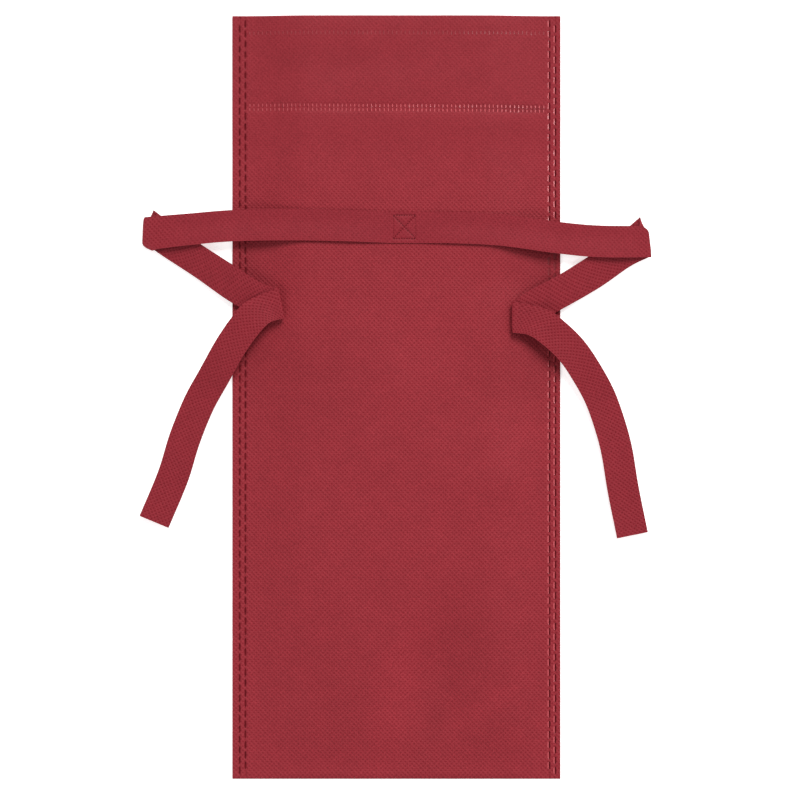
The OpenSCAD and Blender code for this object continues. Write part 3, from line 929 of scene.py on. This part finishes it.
def nonwoven(name, colour, seed=0.0, pit_tint=(0.82, 0.55, 0.62), press_at=(285.0, 350.0, 1.0, 0.62)):
    """Spunbond sheet: square lattice of point bonds turned 45 degrees, fine fibres between them, cloudy density."""
    m, nt, b = principled(name)
    v = lay_coord(nt)
    cell = mapping(nt, v, math.radians(45), (1 / 1.65,) * 3, (seed, seed * 0.37, 0))
    vor = nt.nodes.new("ShaderNodeTexVoronoi")
    vor.voronoi_dimensions = "2D"
    vor.feature = "F1"
    vor.inputs["Scale"].default_value = 1.0
    vor.inputs["Randomness"].default_value = 0.0
    nt.links.new(cell, vor.inputs["Vector"])
    d = vor.outputs["Distance"]
    ragged = noise(nt, v, 2.3, 2.0)
    d2 = math_node(nt, "ADD", d, math_node(nt, "MULTIPLY", math_node(nt, "SUBTRACT", ragged, 0.5), 0.14))
    pit = map_range(nt, d2, 0.17, 0.36, 1.0, 0.0)
    deep = map_range(nt, d2, 0.10, 0.50, 1.0, 0.0)
    f1 = noise(nt, mapping(nt, v, 0.35, (0.55, 4.5, 1)), 1.0, 3.0, 0.6, 0.6)
    f2 = noise(nt, mapping(nt, v, -0.45, (4.0, 0.5, 1)), 1.0, 3.0, 0.6, 0.6)
    fibre = math_node(nt, "MULTIPLY", math_node(nt, "ADD", f1, f2), 0.5)
    grain = noise(nt, v, 0.9, 3.0, 0.65)
    cloud = noise(nt, v, 0.11, 3.0, 0.55)
    broad = noise(nt, mapping(nt, v, 0, (1, 1, 1), (91 + seed, 17, 3)), 0.021, 2.0, 0.5)
    # the lattice is pressed flatter in places along the cloth
    sep = nt.nodes.new("ShaderNodeSeparateXYZ")
    nt.links.new(v, sep.inputs[0])
    press = map_range(nt, sep.outputs["Y"], *press_at)
    pit = math_node(nt, "MULTIPLY", pit, press)
    # brightness factor: random tone of the fibres, grain and clouds, times the painted light and shade stored on the
    # sheet
    k = map_range(nt, fibre, 0.34, 0.66, 0.84, 1.17, "LINEAR")
    k = math_node(nt, "MULTIPLY", k, map_range(nt, grain, 0.32, 0.68, 0.90, 1.10, "LINEAR"))
    k = math_node(nt, "MULTIPLY", k, map_range(nt, cloud, 0.25, 0.75, 0.95, 1.05, "LINEAR"))
    k = math_node(nt, "MULTIPLY", k, map_range(nt, broad, 0.25, 0.75, 0.985, 1.015, "LINEAR"))
    painted_light_shade = nt.nodes.new("ShaderNodeAttribute")
    painted_light_shade.attribute_name = "painted_light_shade"
    k = math_node(nt, "MULTIPLY", k, math_node(nt, "ADD", painted_light_shade.outputs["Fac"], 1.0))
    # dyed colour: thin places are a touch deeper and more saturated
    mix = nt.nodes.new("ShaderNodeMix")
    mix.data_type = "RGBA"
    mix.inputs["A"].default_value = (colour[0] * 0.95, colour[1] * 0.72, colour[2] * 0.80, 1)
    mix.inputs["B"].default_value = (colour[0] * 1.03, colour[1] * 1.18, colour[2] * 1.14, 1)
    nt.links.new(map_range(nt, fibre, 0.32, 0.68, 0.0, 1.0, "LINEAR"), mix.inputs["Factor"])
    sc = nt.nodes.new("ShaderNodeVectorMath")
    sc.operation = "SCALE"
    tint = nt.nodes.new("ShaderNodeMix")
    tint.data_type = "RGBA"
    tint.blend_type = "MULTIPLY"
    tint.inputs["B"].default_value = (*pit_tint, 1)
    nt.links.new(pit, tint.inputs["Factor"])
    nt.links.new(mix.outputs["Result"], tint.inputs["A"])
    nt.links.new(tint.outputs["Result"], sc.inputs[0])
    nt.links.new(k, sc.inputs["Scale"])
    nt.links.new(sc.outputs["Vector"], b.inputs["Base Color"])
    # pits are fused and a little smoother than the fibres
    r = math_node(nt, "SUBTRACT", map_range(nt, fibre, 0.3, 0.7, 0.54, 0.66, "LINEAR"), math_node(nt, "MULTIPLY", pit, 0.14))
    nt.links.new(r, b.inputs["Roughness"])
    h = math_node(nt, "ADD", math_node(nt, "MULTIPLY", math_node(nt, "MULTIPLY", deep, press), -1.0), math_node(nt, "MULTIPLY", fibre, 0.55))
    bp = nt.nodes.new("ShaderNodeBump")
    bp.inputs["Strength"].default_value = 1.0
    bp.inputs["Distance"].default_value = 0.00015
    nt.links.new(h, bp.inputs["Height"])
    nt.links.new(bp.outputs["Normal"], b.inputs["Normal"])
    b.inputs["Specular IOR Level"].default_value = 0.14
    b.inputs["Sheen Weight"].default_value = 0.035
    b.inputs["Sheen Roughness"].default_value = 0.45
    b.inputs["Sheen Tint"].default_value = (1.0, 0.62, 0.62, 1)
    return m


def fused(name, gloss, rough_lo, rough_hi):
    """Molten and set again: dark, dense and smooth, with a faint ripple."""
    m, nt, b = principled(name)
    v = lay_coord(nt)
    sep = nt.nodes.new("ShaderNodeSeparateXYZ")
    nt.links.new(v, sep.inputs[0])
    n1 = noise(nt, v, 0.55, 2.0)
    n2 = noise(nt, v, 3.5, 3.0, 0.6)
    mix = nt.nodes.new("ShaderNodeMix")
    mix.data_type = "RGBA"
    mix.inputs["A"].default_value = (0.092, 0.0035, 0.0070, 1)
    mix.inputs["B"].default_value = (0.150, 0.0070, 0.0115, 1)
    nt.links.new(map_range(nt, n1, 0.3, 0.7, 0, 1, "LINEAR"), mix.inputs["Factor"])
    # thin film on a wall of the groove shows the red fabric through it, painted brighter than the fabric as a painted
    # highlight; the mix goes to the dark fused film, which on the steep side of the right-hand dashes stands partly for
    # painted shade
    film = nt.nodes.new("ShaderNodeMix")
    film.data_type = "RGBA"
    film.inputs["A"].default_value = (0.60, 0.095, 0.112, 1)
    nt.links.new(sep.outputs["Z"], film.inputs["Factor"])
    nt.links.new(mix.outputs["Result"], film.inputs["B"])
    nt.links.new(film.outputs["Result"], b.inputs["Base Color"])
    nt.links.new(map_range(nt, n2, 0.3, 0.7, rough_lo, rough_hi, "LINEAR"), b.inputs["Roughness"])
    bp = nt.nodes.new("ShaderNodeBump")
    bp.inputs["Strength"].default_value = 0.6
    bp.inputs["Distance"].default_value = 0.000018
    nt.links.new(n2, bp.inputs["Height"])
    nt.links.new(bp.outputs["Normal"], b.inputs["Normal"])
    b.inputs["Specular IOR Level"].default_value = gloss
    return m


BAG = nonwoven("bag_nonwoven", (0.291, 0.0262, 0.0360), 0.0, (0.83, 0.56, 0.65), (285.0, 350.0, 1.0, 0.55))
RIB = nonwoven("ribbon_nonwoven", (0.260, 0.0215, 0.0315), 0.31, (0.77, 0.42, 0.52), (100.0, 150.0, 0.58, 1.0))
WELD = fused("fused_weld", 0.55, 0.22, 0.31)
DULL = fused("fused_weld_dull", 0.12, 0.36, 0.50)

for o in (front, back):
    o.data.materials.append(BAG)
    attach(o, "bag")
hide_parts("front_panel", "bottom_fold", "front_mouth_fold", "front_hem_facing")
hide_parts("back_panel", "back_mouth_fold", "back_hem_facing")
for o in weld_pieces:
    dull = "left" in o.name or "box" in o.name
    o.data.materials.append(DULL if dull else WELD)
    if "dull_faces" in o:
        o.data.materials.append(DULL)
        o.data.polygons.foreach_set("material_index", list(o["dull_faces"]))
        del o["dull_faces"]
    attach(o, "bag")

rib_centre.data.materials.append(RIB)
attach(rib_centre, "bag")

for side, (made, sizes, zc1, zc2) in ribbons.items():
    for part, o in made.items():
        o.data.materials.append(RIB)
    sg = -1 if side == "left" else 1
    arm_j = [j for j in frame["joints"] if j["name"] == f"{side}_arm_lift"][0]
    mid_j = [j for j in frame["joints"] if j["name"] == f"{side}_middle_unfold"][0]
    tail_j = [j for j in frame["joints"] if j["name"] == f"{side}_tail_lift"][0]
    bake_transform(made["arm"])
    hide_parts(f"ribbon_{side}_arm")
    p = Vector(mid_j["pos_m"])
    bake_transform(made["outer_fold"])
    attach(made["middle"], f"{side}_middle")
    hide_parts(f"ribbon_{side}_middle")
    p = Vector(tail_j["pos_m"])
    n = Vector((sg * 0.047, 0, 1)).normalized() * 0.15 * MM
    c = Vector((p.x, p.y, zc2 * MM))
    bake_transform(made["inner_fold"])
    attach(made["tail"], f"{side}_tail")
    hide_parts(f"ribbon_{side}_tail")

# ---------------------------------------------------------------- floor, light
me = bpy.data.meshes.new("floor")
me.from_pydata([(-3, -3, -0.00005), (3, -3, -0.00005), (3, 3, -0.00005), (-3, 3, -0.00005)], [], [(0, 1, 2, 3)])
floor = bpy.data.objects.new("floor", me)
bpy.context.scene.collection.objects.link(floor)
fm, fnt, fb = principled("floor_paper")
tc = fnt.nodes.new("ShaderNodeTexCoord")
fn = noise(fnt, tc.outputs["Object"], 6.0, 2.0)
mixf = fnt.nodes.new("ShaderNodeMix")
mixf.data_type = "RGBA"
mixf.inputs["A"].default_value = (0.90, 0.90, 0.90, 1)
mixf.inputs["B"].default_value = (0.93, 0.93, 0.93, 1)
fnt.links.new(fn, mixf.inputs["Factor"])
fnt.links.new(mixf.outputs["Result"], fb.inputs["Base Color"])
fb.inputs["Roughness"].default_value = 0.8
fb.inputs["Specular IOR Level"].default_value = 0.1
fb.inputs["Emission Color"].default_value = (1, 1, 1, 1)
fb.inputs["Emission Strength"].default_value = 0.60
me.materials.append(fm)

world = bpy.data.worlds.new("studio")
bpy.context.scene.world = world
world.use_nodes = True
bg = world.node_tree.nodes["Background"]
bg.inputs["Color"].default_value = (1, 1, 1, 1)
# bright walls, dark ceiling
wt = world.node_tree
wc = wt.nodes.new("ShaderNodeTexCoord")
ws = wt.nodes.new("ShaderNodeSeparateXYZ")
wt.links.new(wc.outputs["Generated"], ws.inputs[0])
wt.links.new(map_range(wt, ws.outputs["Z"], 0.30, 0.97, 0.69, 0.18, "LINEAR"), bg.inputs["Strength"])


def area(name, place, target, size, power, colour=(1, 1, 1), size_y=None):
    d = bpy.data.lights.new(name, "AREA")
    d.shape = "RECTANGLE" if size_y else "SQUARE"
    d.size = size
    if size_y:
        d.size_y = size_y
    d.energy = power
    d.color = colour
    o = bpy.data.objects.new(name, d)
    bpy.context.scene.collection.objects.link(o)
    o.location = place
    o.rotation_mode = "QUATERNION"
    o.rotation_quaternion = (Vector(target) - Vector(place)).to_track_quat("-Z", "Y")
    return o


area("key", (1.60, 4.15, 4.55), (0, 0, 0), 2.9, 352.0)
area("glint", (0.80, 0.13, 0.64), (0.08, 0.1, 0), 0.085, 0.9, size_y=0.24)
area("fill", (-1.9, -2.1, 2.4), (-0.05, -0.1, 0), 1.6, 25.0)
